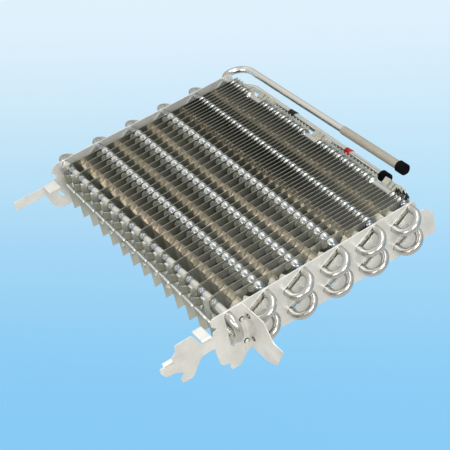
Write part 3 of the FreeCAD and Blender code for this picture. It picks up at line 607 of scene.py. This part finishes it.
# Its width falls to a seventh at the top.
for corner in point:
    corner.co.x *= 0.575 - 0.85 * corner.co.z * 1000 / POINT_HEIGHT
pattern = all_of(point)
for step in range(6):
    wave = math.sin(step * 2.7)
    copy_to(
        shaper, pattern, 309.5 + step * 2.8, 218.5 + 2.2 * wave, 7.4 + 0.8 * wave, spin=0.9 + 0.4 * wave,
        lean=0.3 * wave,
    )
thicken(shaper, point)
painted_dark_shade = plain_metal("browned foil", "#3A362F", 1.0, 0.35, 0.5, (1.0, 1.0, 1.0), 0.6)
make_piece("crumpled_corners", shaper, painted_dark_shade)

# End plates and wing bracket.
# Punched aluminium sheet, 1.2 and 1.0 mm: a pale satin from the rolling mill, with soft cloudy patches. Its rolling
# grain is about 0.4 mm and is drawn 2 mm here, so that it shows.
sheet = new_material("rolled aluminium sheet")
sheet_tone = node(sheet, "ShaderNodeRGB")
sheet_tone.outputs[0].default_value = linear("#EAE9E4")
finish_metal(sheet, sheet_tone.outputs[0], 2.0, 0.38, 0.5, (1.0, 1.0, 1.0), 0.5)
for name in ("near_end_plate", "far_end_plate", "wing_bracket"):
    dress(name, sheet)

# Rims of the near plate's slots.
# The punch leaves a raised rim, 0.6 mm thick, round each slot: a narrow one round the slanting slots and a wider one
# round the upright slot of the first hairpin.
# Each kind has a slot's length between its round ends, the rim's outer half width and its width, in millimetres.
RIM_SIDES = 28
RIM_THICKNESS = 0.0006
RIMS = ((34.5, 5.6, 1.0), (25.0, 4.9, 0.7))
shaper = bmesh.new()
first_corners = []
for length, half_width, width in RIMS:
    before = set(shaper.verts)
    bmesh.ops.create_circle(
        shaper, cap_ends=True, segments=RIM_SIDES, radius=half_width / 1000,
        matrix=Matrix.Rotation(math.radians(90), 4, "Y") @ Matrix.Rotation(math.radians(180 / RIM_SIDES), 4, "Z"),
    )
    ring = [corner for corner in shaper.verts if corner not in before]
    for corner in ring:
        if corner.co.z < 0:
            corner.co.z -= length / 1000
    face = ring[0].link_faces[0]
    bmesh.ops.inset_region(
        shaper, faces=[face], thickness=width / 1000, use_boundary=True, use_even_offset=True
    )
    bmesh.ops.delete(shaper, geom=[face], context="FACES_ONLY")
    ring = [corner for corner in shaper.verts if corner not in before]
    pattern = all_of(ring)
    first_corners += ring
    if length > PITCH:
        copy_to(shaper, pattern, CORE + 1.7, 0.0, 0.0)
    else:
        for row in range(1, 6):
            for level in (0.0, -PITCH):
                copy_to(shaper, pattern, CORE + 1.6, COLUMN * row, level, lean=-slant)
bmesh.ops.delete(shaper, geom=first_corners, context="VERTS")
bmesh.ops.recalc_face_normals(shaper, faces=list(shaper.faces))
bmesh.ops.solidify(shaper, geom=list(shaper.faces), thickness=RIM_THICKNESS)
make_piece("slot_rims", shaper, sheet)

# Clinches of the wing bracket.
# Each is pressed through both sheets: a groove round it, painted dark as shade, and two small domes, painted bright
# as a highlight. The wing's two holes have the same pressed rim, painted dark as shade.
CLINCH_LEVELS = (-12.4, -40.8)
WING_HOLE_LEVELS = (-5.7, -35.4)
shaper = bmesh.new()
groove = spin_ring(shaper, ((0.0, 1.8), (0.45, 2.0), (0.45, 2.9), (0.0, 3.1)), "X", 20)
pattern = all_of(groove)
for level in CLINCH_LEVELS:
    copy_to(shaper, pattern, CORE + 2.2, 12.2, level)
bmesh.ops.delete(shaper, geom=groove, context="VERTS")
rim = spin_ring(shaper, ((0.0, 1.5), (-0.45, 1.7), (-0.45, 2.6), (0.0, 2.8)), "Y", 20)
pattern = all_of(rim)
for level in WING_HOLE_LEVELS:
    copy_to(shaper, pattern, 340.2, 16.0, level)
bmesh.ops.delete(shaper, geom=rim, context="VERTS")
# The grooves' dark colour is painted shade.
pressed = plain_metal("pressed groove of the sheet", "#4C4A45", 1.0, 0.3, 0.5, (1.0, 1.0, 1.0), 0.8)
make_piece("clinch_grooves", shaper, pressed, True)

shaper = bmesh.new()
dome = bmesh.ops.create_uvsphere(shaper, u_segments=12, v_segments=8, radius=0.0012)["verts"]
pattern = all_of(dome)
for level in CLINCH_LEVELS:
    copy_to(shaper, pattern, CORE + 2.5, 11.3, level - 0.9)
    copy_to(shaper, pattern, CORE + 2.5, 13.3, level + 0.6)
bmesh.ops.delete(shaper, geom=dome, context="VERTS")
make_piece("clinch_domes", shaper, painted_highlight_foil, True)

# Sleeve on the suction pipe.
# A polyolefin sleeve, shrunk on with hot air: matt and beige-grey, in faint clouds of about 8 mm where it shrank
# unevenly.
sleeve_plastic = new_material("shrunk polyolefin sleeve")
sleeve_place = node(sleeve_plastic, "ShaderNodeTexCoord")
sleeve_cloud = node(
    sleeve_plastic, "ShaderNodeTexNoise", Vector=sleeve_place.outputs["Object"], Scale=120.0, Detail=3.0
)
sleeve_tone = node(
    sleeve_plastic, "ShaderNodeMix", {"data_type": "RGBA"}, _0=sleeve_cloud.outputs[0],
    _6=linear("#918B7F"), _7=linear("#A59F93"),
)
sleeve_shader = node(sleeve_plastic, "ShaderNodeBsdfPrincipled", Base_Color=sleeve_tone.outputs[2], Roughness=0.5)
node(sleeve_plastic, "ShaderNodeOutputMaterial", Surface=sleeve_shader.outputs[0])
dress("suction_sleeve", sleeve_plastic)

# Rubber caps.
# Moulded EPDM, matt black, which keep dirt out of the two open pipe ends until they are joined. The mould's grain is
# about 0.1 mm and is drawn 1.1 mm here, so that it shows.
rubber = new_material("moulded EPDM rubber")
rubber_place = node(rubber, "ShaderNodeTexCoord")
rubber_grain = node(rubber, "ShaderNodeTexNoise", Vector=rubber_place.outputs["Object"], Scale=900.0, Detail=2.0)
rubber_bump = node(rubber, "ShaderNodeBump", Strength=0.3, Distance=0.0001, Height=rubber_grain.outputs[0])
rubber_shader = node(
    rubber, "ShaderNodeBsdfPrincipled", Base_Color=linear("#030303"), Roughness=0.8, Specular_IOR_Level=0.12,
    Normal=rubber_bump.outputs[0],
)
node(rubber, "ShaderNodeOutputMaterial", Surface=rubber_shader.outputs[0])
for name in ("suction_cap", "inlet_cap"):
    dress(name, rubber)

# Marking tapes on the inlet pipe.
# Bands of soft PVC tape with a satin face, one black and one bright red, which tell the fitter the pipe. The second
# turn covers only a part of the first, and its edge is uneven. Each is listed by name, colour, place and width.
TAPES = (("black_tape", "#030303", 78.0, 11.0), ("red_tape", "#DA2228", 183.0, 8.5))
for name, code, start, width in TAPES:
    shaper = bmesh.new()
    profile = (
        (0.0, 4.03), (0.0, 4.35), (width * 0.6, 4.35), (width * 0.62, 4.65), (width, 4.65), (width, 4.03),
    )
    spin_ring(shaper, profile, "X", 24)
    for corner in shaper.verts:
        corner.co.x += 0.0006 * math.sin(5 * math.atan2(corner.co.y, corner.co.z)) * (corner.co.x > 0.004)
    bmesh.ops.translate(shaper, vec=spot(start, LAST + 31.5, -PITCH), verts=list(shaper.verts))
    tape = new_material(name.replace("_", " ") + " of soft PVC")
    tape_place = node(tape, "ShaderNodeTexCoord")
    tape_cloud = node(tape, "ShaderNodeTexNoise", Vector=tape_place.outputs["Object"], Scale=300.0)
    tape_rough = node(tape, "ShaderNodeMapRange", Value=tape_cloud.outputs[0], To_Min=0.4, To_Max=0.65)
    tape_shader = node(tape, "ShaderNodeBsdfPrincipled", Base_Color=linear(code), Roughness=tape_rough.outputs[0])
    node(tape, "ShaderNodeOutputMaterial", Surface=tape_shader.outputs[0])
    make_piece(name, shaper, tape, True)
